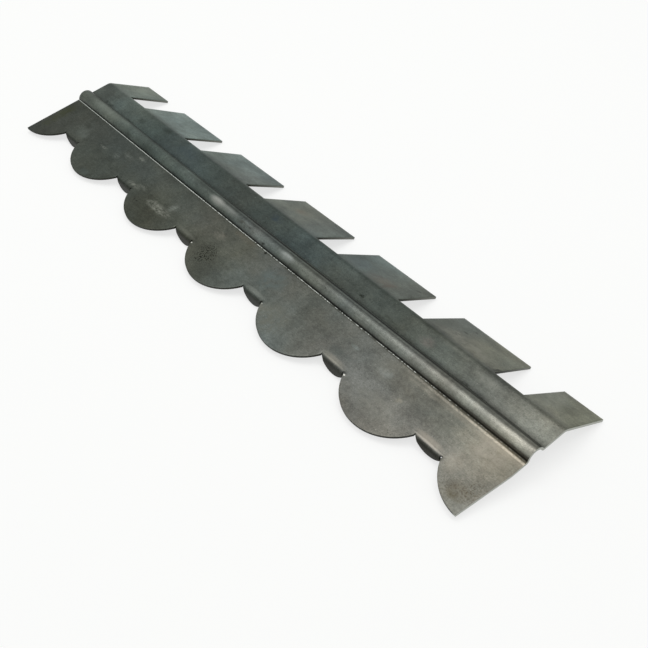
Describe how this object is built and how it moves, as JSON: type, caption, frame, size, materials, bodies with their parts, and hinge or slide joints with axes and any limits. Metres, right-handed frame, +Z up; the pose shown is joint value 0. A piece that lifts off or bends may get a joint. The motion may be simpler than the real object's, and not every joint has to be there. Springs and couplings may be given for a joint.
{
  "type": "sieve louvre slat",
  "caption": "Folded sheet-steel louvre slat with round lobes, folded-down tongues, bent square teeth and a half-round channel for its pivot wire.",
  "frame": {"origin": "on the surface that the slat lies on, under the middle of its box", "axes": "+X along the slat, towards the end whose cut leans in at the lobe; +Y towards the teeth; +Z up"},
  "size_m": [0.2498, 0.0566, 0.0092],
  "materials": {
    "bare_steel": "bare mill-finish sheet steel, dulled, stained and lightly pitted, with sheared edges"
  },
  "bodies": {
    "root": {"louvre_slat": "bare_steel"}
  },
  "joints": []
}
